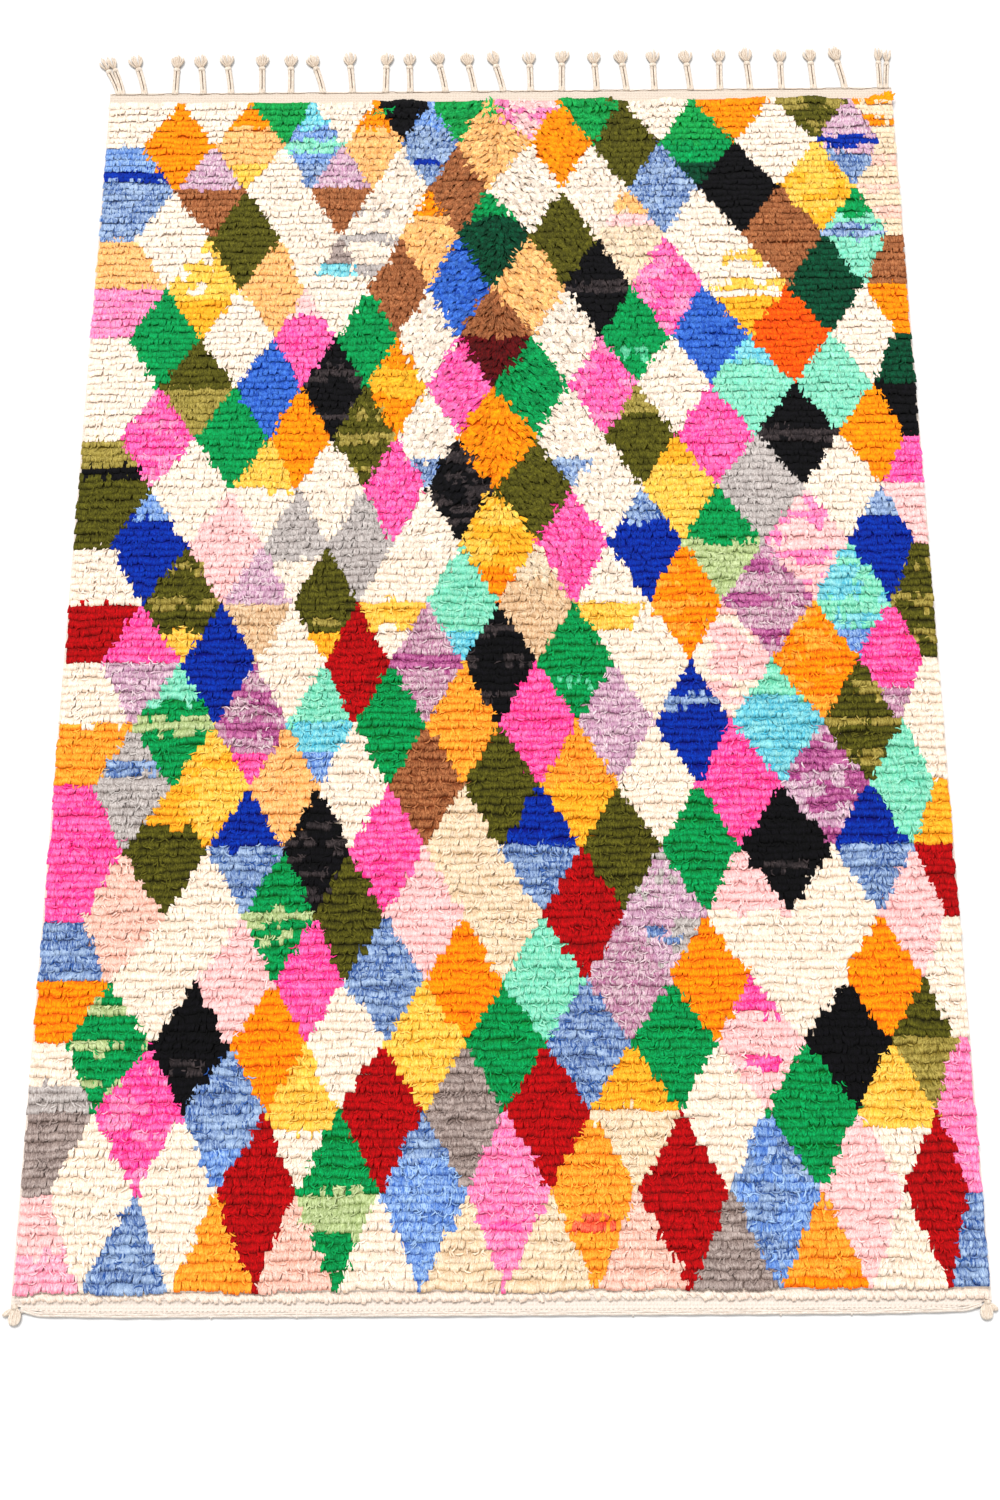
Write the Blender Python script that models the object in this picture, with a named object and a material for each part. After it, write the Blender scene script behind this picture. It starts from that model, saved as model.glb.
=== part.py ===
"""Boujad rug lying flat: knotted pile rows, flat woven ends, braided fringe, heading cord and corner tassels.

Metres, +Z up. X runs across the rug and +Y towards the fringe. The floor is at Z = 0.
While the pieces are made, Y = 0 is the near edge of the pile and X = 0 its middle.
"""
import math
from collections import namedtuple

import bpy
import numpy as np

MM = 0.001
GAP = 0.4 * MM            # air between neighbouring pieces

# Pile field
PILE_WIDTH = 1.600
PILE_LENGTH = 2.392
ROWS = 162
ROW_SHRINK = 13.8 / 15.8  # pitch of the farthest row over that of the nearest
LIP_PLACE = 0.30          # where a row's lip stands between its two creases
SELVEDGE = 4 * MM         # foundation seen beyond the pile on each side
NEAR_SKEW = 4.5 * MM      # how far the right end of the nearest row lies ahead of its middle
FAR_SKEW = 8.5 * MM       # and that of the farthest row

# Heights above the floor
BASE_TOP = 4 * MM
PILE_TOP = 18 * MM
CREASE_TOP = 13 * MM
ROLL_TOP = 12 * MM
ROLL_CREASE_TOP = 9 * MM

# Unevenness of the pile, each way from its mean
CREASE_WANDER = 1.3 * MM
TOP_WANDER = 1.2 * MM
SIDE_WANDER = 0.8 * MM
SIDE_BULGE = 1.5 * MM     # how far a row's end swells past its creases

# Near end: roll row, flat band, heading cord
ROLL_DEPTH = 19 * MM
ROLL_FACE = 3 * MM        # run of the roll's steep near face
BAND_EDGE = -34 * MM
CORNER_EDGE = -21 * MM    # the band's edge at the very corners
CORNER_FLAT = 12 * MM     # how far in from the side it stays there
BEND_EDGE = -31 * MM      # and the edge where the corner's rise begins
BEND_IN = 35 * MM
CORD_ACROSS = 7.5 * MM
CORD_TUCK = 15 * MM       # how far inside the rug's side the cord ends

# Far end: flat band and the strip that holds the fringe
FAR_BAND = 34 * MM
STRIP_DEPTH = 5 * MM
PILE_END_DROP = 1 * MM    # run of the pile's steep far face

COLUMNS_INSIDE = 7
INSIDE_REACH = 0.620      # outermost of the evenly spaced columns

Strand = namedtuple("Strand", "root lean length wide neck", defaults=[13])

# The fringe from left to right, in mm: root from the rug's middle, lean of the tip, length, tuft and neck widths
BRAIDS = [
    Strand(-788, -40, 86, 17, 11),
    Strand(-776, -30, 91, 17, 11),
    Strand(-734, -27, 93, 27),
    Strand(-671, 1, 92, 28),
    Strand(-613, -11, 92, 28),
    Strand(-556, -15, 94, 27),
    Strand(-492, -4, 93, 27),
    Strand(-433, -3, 92, 28),
    Strand(-367, -27, 91, 28),
    Strand(-306, -10, 96, 27),
    Strand(-238, 1, 94, 28),
    Strand(-187, -4, 93, 26),
    Strand(-115, -20, 96, 28),
    Strand(-55, -19, 93, 28),
    Strand(4, -25, 95, 27),
    Strand(61, -3, 94, 28),
    Strand(125, 1, 98, 29),
    Strand(197, -6, 94, 27),
    Strand(258, -12, 95, 28),
    Strand(316, -3, 95, 27),
    Strand(390, -10, 94, 28),
    Strand(451, 1, 97, 27),
    Strand(513, -7, 98, 28),
    Strand(578, 0, 95, 27),
    Strand(644, -5, 96, 28),
    Strand(708, -19, 99, 27),
    Strand(776, -2, 96, 17, 11),
    Strand(788, 6, 92, 17, 11),
]

# Rings along a strand: part of its length, part of the way from neck to wide, height in mm
Ring = namedtuple("Ring", "along spread height")
BRAID_RINGS = [
    Ring(0.00, 0.00, 4.0),
    Ring(0.08, 0.00, 7.0),
    Ring(0.55, -0.04, 7.0),
    Ring(0.62, 0.06, 9.0),
    Ring(0.68, 0.06, 8.5),
    Ring(0.82, 0.74, 9.0),
    Ring(0.94, 1.00, 7.5),
    Ring(1.00, 0.45, 4.0),
]
LOOP_RINGS = [
    Ring(0.00, 0.00, 5.0),
    Ring(0.25, 0.45, 8.0),
    Ring(0.60, 1.00, 9.0),
    Ring(0.88, 0.80, 8.0),
    Ring(1.00, 0.10, 4.0),
]
RIDGE_SHARE = 0.62        # flat on top of a strand, as a part of its width

# A corner tassel hangs its two loops from a short head. Roots are from the head's middle, left to right
HEAD_WIDTH = 18 * MM
HEAD_DEPTH = 6 * MM
HEAD_TOP = 5 * MM
HEAD_INSET = 3 * MM       # from the rug's corner in to the head's middle
LEFT_LOOPS = [Strand(-4.5, -8, 14, 8, 4), Strand(4, -4, 33, 18, 9)]
RIGHT_LOOPS = [Strand(-3.5, -2, 28, 18, 9), Strand(5.5, 5, 15, 8, 4)]

ECRU = (0.86, 0.80, 0.70, 1.0)
PILE_MEAN = (0.62, 0.42, 0.30, 1.0)


def wool(name, colour, roughness):
    """A plain matt material."""
    material = bpy.data.materials.new(name)
    material.use_nodes = True
    shader = material.node_tree.nodes["Principled BSDF"]
    shader.inputs["Base Color"].default_value = colour
    shader.inputs["Roughness"].default_value = roughness
    shader.inputs["Metallic"].default_value = 0.0
    return material


def solid(name, points, faces, material):
    """One closed mesh object with its faces turned outwards."""
    mesh = bpy.data.meshes.new(name)
    mesh.from_pydata([tuple(map(float, point)) for point in points], [], faces)
    mesh.materials.append(material)
    piece = bpy.data.objects.new(name, mesh)
    bpy.context.collection.objects.link(piece)
    return piece


def row_creases():
    """Distance of each crease from the pile's near edge, in rows that narrow evenly towards the fringe."""
    pitch = ROW_SHRINK ** (np.arange(ROWS) / (ROWS - 1))
    return np.concatenate([[0.0], np.cumsum(pitch)]) * PILE_LENGTH / pitch.sum()


def column_places():
    """X of the points across a row, with two more near each side for the corner's bend."""
    half = PILE_WIDTH / 2
    right = np.array([half - BEND_IN, half - CORNER_FLAT, half])
    inside = np.linspace(-INSIDE_REACH, INSIDE_REACH, COLUMNS_INSIDE)
    return np.concatenate([-right[::-1], inside, right])


def near_edge(x):
    """Y of the near band's edge, which rises at both corners."""
    half = PILE_WIDTH / 2
    bends = [INSIDE_REACH, half - BEND_IN, half - CORNER_FLAT]
    return np.interp(np.abs(x), bends, [BAND_EDGE, BEND_EDGE, CORNER_EDGE])


def cross_lines(x):
    """The lines of points across the rug from the near end to the far end: Y and Z per column, and side swell."""
    rng = np.random.default_rng(11)
    flat = np.full(len(x), BASE_TOP)
    ones = np.ones(len(x))

    def top(height):
        return height + rng.uniform(-TOP_WANDER, TOP_WANDER, len(x))

    lines = [
        (near_edge(x), flat, 0.0),
        (-ROLL_DEPTH * ones, flat, 0.0),
        ((ROLL_FACE - ROLL_DEPTH) * ones, top(ROLL_TOP), 0.0),
    ]
    creases = row_creases()
    for row in range(ROWS):
        wander = rng.uniform(-CREASE_WANDER, CREASE_WANDER, len(x))
        lip = LIP_PLACE * (creases[row + 1] - creases[row])
        low = ROLL_CREASE_TOP if row == 0 else CREASE_TOP
        lines.append((creases[row] + wander, top(low), 0.0))
        swell = SIDE_BULGE + rng.uniform(-SIDE_WANDER, SIDE_WANDER)
        lines.append((creases[row] + lip + wander, top(PILE_TOP), swell))
    edge = PILE_LENGTH + FAR_BAND - STRIP_DEPTH - GAP
    lines += [
        (PILE_LENGTH * ones, top(CREASE_TOP), 0.0),
        ((PILE_LENGTH + PILE_END_DROP) * ones, flat, 0.0),
        (edge * ones, flat, 0.0),
    ]
    return lines


def line_points(x, y, z, swell):
    """One closed line round the rug: up the left selvedge, across the top and down the right one."""
    side = PILE_WIDTH / 2 + SELVEDGE
    across = x.copy()
    across[0] -= swell
    across[-1] += swell
    left = [(-side, y[0], 0.0), (-side, y[0], BASE_TOP)]
    right = [(side, y[-1], BASE_TOP), (side, y[-1], 0.0)]
    return left + list(zip(across, y, z)) + right


def make_rug(material):
    """Foundation and pile in one solid, with a row's lip and crease for each row of knots."""
    x = column_places()
    points = []
    faces = []
    for y, z, swell in cross_lines(x):
        points += line_points(x, y, z, swell)
    count = len(x) + 4
    last = len(points) // count - 1
    for line in range(last):
        a = line * count
        b = a + count
        faces += [(a + i, a + i + 1, b + i + 1, b + i) for i in range(count - 1)]
        if line:
            faces.append((a + count - 1, a, b, b + count - 1))
    foot = len(points)
    points += [(place, near_edge(place), 0.0) for place in x]
    under = [0] + list(range(foot, foot + len(x))) + [count - 1]
    faces.append((0, foot, 2, 1))
    faces += [(foot + i, foot + i + 1, i + 3, i + 2) for i in range(len(x) - 1)]
    faces.append((foot + len(x) - 1, count - 1, count - 2, count - 3))
    faces.append(tuple(reversed(under)) + (count, 2 * count - 1))
    faces.append(tuple(last * count + i for i in range(count)))
    return solid("rug", points, faces, material)


def strand_ring(strand, ring, base_y):
    """Four points round a strand, flat on the floor: lower left, lower right, upper right, upper left."""
    middle = (strand.root + strand.lean * ring.along ** 1.3) * MM
    y = base_y + strand.length * ring.along * MM
    low = (strand.neck + ring.spread * (strand.wide - strand.neck)) * MM / 2
    high = low * (1 if ring.along == 0 else RIDGE_SHARE)
    z = ring.height * MM
    return [(middle - low, y, 0.0), (middle + low, y, 0.0), (middle + high, y, z), (middle - high, y, z)]


def make_comb(name, half, depth, top, strands, rings, material):
    """A strip across X with strands on its +Y side, in one solid. The strip spans Y from 0 to depth."""
    points = []
    faces = []
    roots = [strand_ring(strand, rings[0], depth) for strand in strands]
    stops = [-half] + [corner[0] for root in roots for corner in root[:2]] + [half]
    for stop in stops:
        points += [(stop, 0.0, 0.0), (stop, depth, 0.0), (stop, depth, top), (stop, 0.0, top)]
    for i in range(len(stops) - 1):
        a = 4 * i
        b = a + 4
        sides = [0, 2, 3] if i % 2 else [0, 1, 2, 3]
        faces += [(a + k, a + (k + 1) % 4, b + (k + 1) % 4, b + k) for k in sides]
    faces.append((3, 2, 1, 0))
    faces.append(tuple(len(points) - 4 + k for k in range(4)))
    for number, strand in enumerate(strands):
        left = 4 * (2 * number + 1)
        ring_before = [left + 1, left + 5, left + 6, left + 2]
        for ring in rings[1:]:
            now = list(range(len(points), len(points) + 4))
            points += strand_ring(strand, ring, depth)
            for k in range(4):
                n = (k + 1) % 4
                faces.append((ring_before[n], ring_before[k], now[k], now[n]))
            ring_before = now
        faces.append(tuple(reversed(ring_before)))
    return solid(name, points, faces, material)


def make_fringe(material):
    """The far end's braids on the strip that is parted from the band."""
    half = PILE_WIDTH / 2 + SELVEDGE
    fringe = make_comb("fringe", half, STRIP_DEPTH, BASE_TOP, BRAIDS, BRAID_RINGS, material)
    fringe.location.y = PILE_LENGTH + FAR_BAND - STRIP_DEPTH
    return fringe


def make_tassel(name, side, loops, material):
    """A head and two loops at a near corner; side is -1 for the left corner and 1 for the right one."""
    turned = [loop._replace(root=-loop.root, lean=-loop.lean) for loop in reversed(loops)]
    tassel = make_comb(name, HEAD_WIDTH / 2, HEAD_DEPTH, HEAD_TOP, turned, LOOP_RINGS, material)
    tassel.rotation_euler.z = math.pi
    tassel.location.x = side * (PILE_WIDTH / 2 - HEAD_INSET)
    tassel.location.y = near_edge(PILE_WIDTH / 2) - GAP
    return tassel


def cord_section():
    """Y and Z round the cord, with a flat under it, from its upper inner corner."""
    w = CORD_ACROSS
    low, high = 0.25 * w, 0.75 * w
    return [(0, high), (-low, w), (-high, w), (-w, high), (-w, low), (-high, 0), (-low, 0), (0, low)]


def make_cord(material):
    """The heading cord, which follows the near band's edge."""
    end = PILE_WIDTH / 2 - CORD_TUCK
    x = column_places()
    x[0], x[-1] = -end, end
    section = cord_section()
    points = []
    faces = []
    for place in x:
        edge = near_edge(place) - GAP
        points += [(place, edge + y, z) for y, z in section]
    count = len(section)
    for i in range(len(x) - 1):
        a = i * count
        b = a + count
        faces += [(a + k, a + (k + 1) % count, b + (k + 1) % count, b + k) for k in range(count)]
    faces.append(tuple(reversed(range(count))))
    faces.append(tuple(len(points) - count + k for k in range(count)))
    return solid("heading_cord", points, faces, material)


def skew(pieces):
    """Slants the rows a little, so that their right ends lie farther from the near end than their left ends."""
    bpy.context.view_layer.update()
    for piece in pieces:
        back = piece.matrix_world.inverted()
        for vertex in piece.data.vertices:
            place = piece.matrix_world @ vertex.co
            share = min(max(place.y / PILE_LENGTH, 0.0), 1.0)
            slant = NEAR_SKEW + share * (FAR_SKEW - NEAR_SKEW)
            place.y += slant * place.x / (PILE_WIDTH / 2)
            vertex.co = back @ place


def centre(pieces):
    """Moves the pieces together, so that the whole is centred over the origin."""
    bpy.context.view_layer.update()
    corners = [
        piece.matrix_world @ vertex.co for piece in pieces for vertex in piece.data.vertices
    ]
    for axis in (0, 1):
        places = [corner[axis] for corner in corners]
        middle = (min(places) + max(places)) / 2
        for piece in pieces:
            piece.location[axis] -= middle


def clear_scene():
    for item in list(bpy.data.objects):
        bpy.data.objects.remove(item, do_unlink=True)


def main():
    clear_scene()
    pile = wool("pile_wool", PILE_MEAN, 0.95)
    cotton = wool("ecru_yarn", ECRU, 0.9)
    pieces = [
        make_rug(pile),
        make_fringe(cotton),
        make_cord(cotton),
        make_tassel("tassel_left", -1, LEFT_LOOPS, cotton),
        make_tassel("tassel_right", 1, RIGHT_LOOPS, cotton),
    ]
    skew(pieces)
    centre(pieces)


main()
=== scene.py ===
"""Looks of the boujad rug: knotted pile in coloured lozenges, woven ends, braided fringe, cord and tassels.

Metres. Shapes are made with X = 0 on the rug's middle line and Y = 0 on the pile's near edge, and are
then set on the frame.
"""

import math
import re
from collections import namedtuple

import bpy
import numpy as np
from numpy.random import default_rng
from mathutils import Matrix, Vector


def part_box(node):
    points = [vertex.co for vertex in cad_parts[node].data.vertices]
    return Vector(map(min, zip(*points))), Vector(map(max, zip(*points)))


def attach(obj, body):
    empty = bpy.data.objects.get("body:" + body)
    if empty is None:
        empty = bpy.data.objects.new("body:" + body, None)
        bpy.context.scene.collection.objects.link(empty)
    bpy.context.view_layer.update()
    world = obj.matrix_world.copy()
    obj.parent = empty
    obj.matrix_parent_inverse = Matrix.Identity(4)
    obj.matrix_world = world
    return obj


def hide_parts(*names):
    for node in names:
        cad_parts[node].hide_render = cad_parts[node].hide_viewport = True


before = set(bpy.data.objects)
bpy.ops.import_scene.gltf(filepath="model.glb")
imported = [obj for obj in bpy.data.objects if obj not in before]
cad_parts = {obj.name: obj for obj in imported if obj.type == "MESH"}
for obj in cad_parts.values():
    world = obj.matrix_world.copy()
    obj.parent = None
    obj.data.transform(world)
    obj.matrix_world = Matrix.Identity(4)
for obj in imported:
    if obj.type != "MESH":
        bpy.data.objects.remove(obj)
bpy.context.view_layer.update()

MM = 0.001

# Pile field, with the same sizes as the solids
PILE_WIDTH = 1.600
PILE_LENGTH = 2.392
ROWS = 162
KNOTS = 184
ENDS = 2 * KNOTS  # yarn ends a row, two for each knot
ROW_SHRINK = 13.8 / 15.8  # pitch of the farthest row over that of the nearest
SELVEDGE = 4 * MM  # foundation seen beyond the pile on each side
HALF_PILE = PILE_WIDTH / 2
HALF_RUG = HALF_PILE + SELVEDGE
NEAR_SKEW = 4.5 * MM  # how far the right end of the nearest row lies ahead of its middle
FAR_SKEW = 8.5 * MM  # and that of the farthest row
BED_TOP = 12 * MM  # where the yarn ends are rooted
BASE_TOP = 4 * MM

# Near end
ROLL_DEPTH = 19 * MM
ROLL_BED_TOP = 8 * MM
BAND_EDGE = -34 * MM
BEND_EDGE = -31 * MM  # the edge where the corner's rise begins
CORNER_EDGE = -21 * MM  # the band's edge at the very corners
CORNER_FLAT = 12 * MM  # how far in from the side it stays there
BEND_IN = 35 * MM
BEND_START = 0.620
CORD_ACROSS = 7.5 * MM
GAP = 0.4 * MM  # air between neighbouring pieces

# Far end
FAR_BAND = 34 * MM
STRIP_DEPTH = 5 * MM  # the fringe's own strip of it
FAR_EDGE = PILE_LENGTH + FAR_BAND
CLOTH_END = FAR_EDGE - STRIP_DEPTH - GAP

# Where each band of lozenges has its middle, from the near end to the far end
BAND_MIDDLES = [
    -0.0025, 0.1617, 0.2961, 0.4155, 0.527, 0.644, 0.769, 0.888, 1.008, 1.132, 1.252,
    1.376, 1.4955, 1.605, 1.7195, 1.829, 1.9435, 2.063, 2.177, 2.287, 2.396,
]

# Lozenge points across the rug in mm, at each of three stops along it. Half the columns meet a band, the
# other half its neighbours.
COLUMN_STOPS = [0.15, 0.65, 2.392]
COLUMNS = [
    (-755, -733, -728), (-695, -672, -655), (-610, -590, -580),
    (-548, -520, -510), (-475, -453, -437), (-405, -388, -385),
    (-345, -326, -320), (-275, -270, -257), (-203, -202, -200),
    (-130, -134, -145), (-58, -65, -83), (8, 0, -22),
    (82, 72, 45), (157, 145, 114), (226, 214, 183),
    (312, 284, 248), (383, 356, 318), (457, 424, 390),
    (535, 505, 472), (611, 590, 556), (670, 660, 635),
    (737, 730, 711), (778, 777, 768),
]

# Yarn in each lozenge, one line a band from the near end, left to right. In a/b, b fills the lower half, in
# a;b the lowest third, in a_b the bottom and in a^b the top. In a=b it makes stripes and in a~b patches.
# In a'b it is a level streak above the middle, in a:b one through the middle and in a-b a short low one.
BANDS = [
    "rose^blush denim marigold peach cream ivory ivory peach taupe marigold:orange cream denim",
    "cream cream red emerald/sage_emerald sky^denim candy-hotpink marigold-coral red denim~sky blush red",
    "grey^cream/taupe hotpink~candy denim_sky lemon;cream red taupe red golden/ivory cream emerald"
    " lemon;cream candy",
    "emerald=sage black-charcoal orange cream lemon emerald denim emerald blush^hotpink-hotpink black"
    " olive/moss",
    "denim/orange cream blush hotpink denim orange mint mauve orange cream orange cream",
    "peach cream emerald-sage:sage olive blush ivory red lilac~grey-denim blush/cream cream blush",
    "hotpink olive^golden royal/denim black~charcoal hotpink ivory royal/denim olive emerald black-charcoal"
    " royal/denim golden/red",
    "grey'denim lemon~golden apricot cream brown olive marigold/golden cream hotpink lilac~purple mint",
    "cream/marigold emerald^mint:sage mauve~purple_hotpink mint/turquoise_sky emerald marigold hotpink"
    " lilac royal'denim turquoise^mint olive=moss cream",
    "hotpink/lilac royal cream red mauve:purple black=charcoal emerald-jade cream blush~cream"
    " orange~marigold hotpink_mauve",
    "cream/red olive=moss_lemon lilac/tan olive-moss_golden cream/lemon_cream mint_turquoise tan^ivory"
    " cream/lemon_cream orange~marigold mauve=purple mint~turquoise_sky olive=moss",
    "royal^sky blush grey;cream grey cream lemon~golden_orange hotpink royal^denim emerald/sage"
    " blush~candy royal^denim",
    "olive^moss'black cream lemon/cream cream hotpink black~charcoal olive cream lemon^golden grey cream"
    " hotpink/blush",
    "hotpink~candy emerald orange olive=moss cream_denim orange cream_denim olive^moss hotpink"
    " black:charcoal orange",
    "cream olive/moss blue black~charcoal golden^orange;orange hotpink emerald hotpink~candy cream"
    " mint^turquoise mint forest/black",
    "emerald cream hotpink^blush emerald cream brown/maroon cream emerald-jade blue flame cream",
    "apricot/candy lemon~cream;golden apricot cream^taupe'turquoise brown blue apricot black:charcoal"
    " hotpink~candy cream=lemon;golden forest brown/orange",
    "cream olive cream cream=grey apricot^orange forest^emerald olive ivory^apricot'blush cream brown"
    " mint^emerald:denim",
    "denim^sky'royal lilac/brown cream lilac/brown cream brown cream cream denim black lemon~golden"
    " ivory=peach",
    "orange apricot^orange_lemon sky^turquoise:mint_denim apricot^orange denim^sky-royal apricot orange"
    " olive leaf/emerald_forest cream lilac;denim:royal",
    "cream cream leaf cream black leaf blush~candy leaf^denim cream orange olive~moss ivory=orange",
]

# Yarns: main colour and the colour of the odd strands, each as red, green and blue from 0 to 255, and
# how mottled the yarn is
YARNS = {
    "cream": ((247, 235, 221), (243, 222, 202), 0.3),
    "ivory": ((243, 224, 200), (230, 204, 170), 0.4),
    "peach": ((246, 214, 200), (236, 186, 168), 0.4),
    "tan": ((234, 206, 172), (212, 174, 134), 0.4),
    "apricot": ((250, 202, 140), (245, 177, 102), 0.35),
    "orange": ((255, 160, 10), (252, 138, 4), 0.25),
    "flame": ((252, 108, 5), (230, 75, 0), 0.2),
    "coral": ((248, 130, 90), (238, 85, 70), 0.2),
    "marigold": ((255, 184, 72), (246, 152, 38), 0.4),
    "golden": ((250, 194, 62), (243, 166, 32), 0.4),
    "lemon": ((250, 212, 108), (244, 188, 62), 0.45),
    "hotpink": ((255, 52, 150), (253, 132, 190), 0.55),
    "candy": ((253, 172, 202), (247, 115, 176), 0.5),
    "rose": ((251, 204, 212), (244, 156, 180), 0.6),
    "blush": ((250, 213, 209), (246, 192, 191), 0.4),
    "red": ((198, 12, 20), (156, 4, 12), 0.3),
    "maroon": ((110, 15, 20), (70, 20, 20), 0.2),
    "emerald": ((0, 168, 92), (0, 134, 72), 0.45),
    "jade": ((64, 190, 136), (120, 208, 168), 0.5),
    "leaf": ((38, 174, 87), (0, 140, 70), 0.4),
    "forest": ((0, 88, 58), (0, 58, 40), 0.4),
    "mint": ((164, 228, 200), (118, 210, 182), 0.5),
    "sage": ((202, 214, 164), (166, 182, 124), 0.4),
    "olive": ((104, 100, 34), (74, 72, 16), 0.4),
    "moss": ((184, 166, 90), (138, 124, 56), 0.5),
    "royal": ((0, 60, 174), (10, 44, 146), 0.3),
    "blue": ((38, 84, 184), (75, 125, 210), 0.4),
    "denim": ((50, 92, 160), (174, 194, 220), 0.8),
    "sky": ((172, 200, 233), (80, 125, 200), 0.6),
    "turquoise": ((84, 188, 212), (160, 222, 222), 0.6),
    "mauve": ((224, 202, 206), (180, 112, 150), 0.6),
    "lilac": ((231, 210, 215), (188, 136, 168), 0.55),
    "purple": ((160, 62, 128), (206, 130, 172), 0.5),
    "black": ((4, 4, 6), (20, 18, 24), 0.3),
    "charcoal": ((76, 67, 67), (44, 39, 41), 0.6),
    "taupe": ((146, 129, 123), (186, 170, 163), 0.5),
    "grey": ((208, 200, 195), (174, 164, 160), 0.5),
    "brown": ((186, 122, 80), (138, 82, 50), 0.45),
    "roll": ((244, 230, 217), (232, 212, 196), 0.3),
    "near_band": ((219, 207, 196), (211, 195, 182), 0.2),
    "far_band": ((210, 196, 181), (198, 182, 166), 0.2),
    "cord": ((227, 217, 206), (217, 203, 190), 0.2),
    "braid": ((227, 213, 197), (210, 193, 175), 0.2),
    "seam": ((95, 65, 42), (140, 105, 75), 0.2),
}
YARN_AT = {name: place for place, name in enumerate(YARNS)}

FURRY_FROM = 1.24  # the pile looks combed and furry beyond this Y
FURRY_RUN = 0.20
FURRY_REACH = 0.30
LOOSE_START = 0.01
LOOSE_SPLIT = 1.35  # the loose strands are one piece before this Y and one beyond it
LOOSE_END = 2.385
FAN_REACH = 0.12  # strands fan out from the middle line this far to each side

# Cross lines of a tongue of yarn, all as shares: place along it, its width, its height, how far its edges
# drop and how deep the painted shade is there, deepest in the creases at root and tip
Section = namedtuple("Section", "along spread rise drop shade")
TUFT = [
    Section(0, 0.8, 0.12, 0, 0.6),
    Section(0.7, 1, 1, 0.34, 0),
    Section(1, 0.86, 0.34, 0.26, 0.75),
]
LOOSE = [
    Section(0, 0.6, 0, 0, 0.25),
    Section(0.3, 1, 0.8, 0.45, 0),
    Section(0.7, 0.95, 1, 0.45, 0),
    Section(1, 0.35, 0.25, 0.2, 0.15),
]
FLAT_RISE = 0.88  # height of a combed tongue, as a share of its full rise

Shape = namedtuple("Shape", "points quads main odd lay cell")


def linear(colour):
    """0 to 255 screen colour as linear light."""
    return (np.asarray(colour, float) / 255) ** 2.2


MAIN = np.array([linear(main) for main, odd, mottle in YARNS.values()])
ODD = np.array([linear(odd) for main, odd, mottle in YARNS.values()])
MOTTLE = np.array([mottle for main, odd, mottle in YARNS.values()])


def mm(*values):
    """Millimetres as an array of metres."""
    return np.array(values) * MM


def ease(share):
    """A share from 0 to 1 with a soft start and end."""
    return share * share * (3 - 2 * share)


def smooth_step(value, start, run):
    """0 up to start, 1 past start and run, and eased between them."""
    return ease(np.clip((value - start) / run, 0, 1))


PATCH_CELLS = 97  # cells each way before the random patches repeat
PATCH_SHIFT = 31  # cells that keep the rug clear of the first ones


def patches(x, y, size, seed):
    """Smooth random value from 0 to 1 over the plane, with spots about size across."""
    grid = default_rng(seed).random((PATCH_CELLS, PATCH_CELLS))
    across = np.asarray(x) / size + PATCH_SHIFT
    along = np.asarray(y) / size + PATCH_SHIFT
    i = np.floor(across).astype(int)
    j = np.floor(along).astype(int)
    share_across = ease(across - i)
    share_along = ease(along - j)
    i, next_i = i % PATCH_CELLS, (i + 1) % PATCH_CELLS
    j, next_j = j % PATCH_CELLS, (j + 1) % PATCH_CELLS
    low = grid[i, j] * (1 - share_across) + grid[next_i, j] * share_across
    high = grid[i, next_j] * (1 - share_across) + grid[next_i, next_j] * share_across
    return low * (1 - share_along) + high * share_along


def row_creases():
    """Y of each crease between the rows, from the near one to the far one."""
    pitch = ROW_SHRINK ** (np.arange(ROWS) / (ROWS - 1))
    return np.concatenate([[0.0], np.cumsum(pitch)]) * PILE_LENGTH / pitch.sum()


def near_edge(x):
    """Y of the near band's edge, which turns up towards both corners."""
    bends = [BEND_START, HALF_PILE - BEND_IN, HALF_PILE - CORNER_FLAT]
    return np.interp(np.abs(x), bends, [BAND_EDGE, BEND_EDGE, CORNER_EDGE])


def lattice_places(x, y):
    """Column and band of each point as whole and part numbers."""
    edges = np.stack([np.interp(y, COLUMN_STOPS, mm(*column)) for column in COLUMNS], axis=1)
    index = np.clip((x[:, None] >= edges).sum(1) - 1, 0, len(COLUMNS) - 2)
    every = np.arange(len(x))
    left, right = edges[every, index], edges[every, index + 1]
    column = index + np.clip((x - left) / (right - left), 0, 1)
    step = BAND_MIDDLES[1] - BAND_MIDDLES[0]
    band = np.interp(y, BAND_MIDDLES, np.arange(len(BAND_MIDDLES)))
    band = np.where(y < BAND_MIDDLES[0], (y - BAND_MIDDLES[0]) / step, band)
    return column, band


# Where marks lie in a lozenge, whose height and side both run from -1 to 1
Streak = namedtuple("Streak", "middle half reach")
STREAKS = {
    "'": Streak(0.34, 0.11, 1.0),
    ":": Streak(0.0, 0.12, 1.0),
    "-": Streak(-0.34, 0.07, 0.42),
}
BELOW = {"/": 0.02, ";": -0.24, "_": -0.45}
TOP_FROM = 0.42
STRIPE_RATE = 11
STRIPE_FROM = 0.62
PATCH_FROM = 0.58
EDGE_WAVE = 30 * MM  # size of the waves in a mark's edge
EDGE_SPECKLE = 5 * MM  # and of its specks
MARK_PATCH = 40 * MM
SQUASH = 2.4  # how much wider than deep the patches of another colour are


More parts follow.
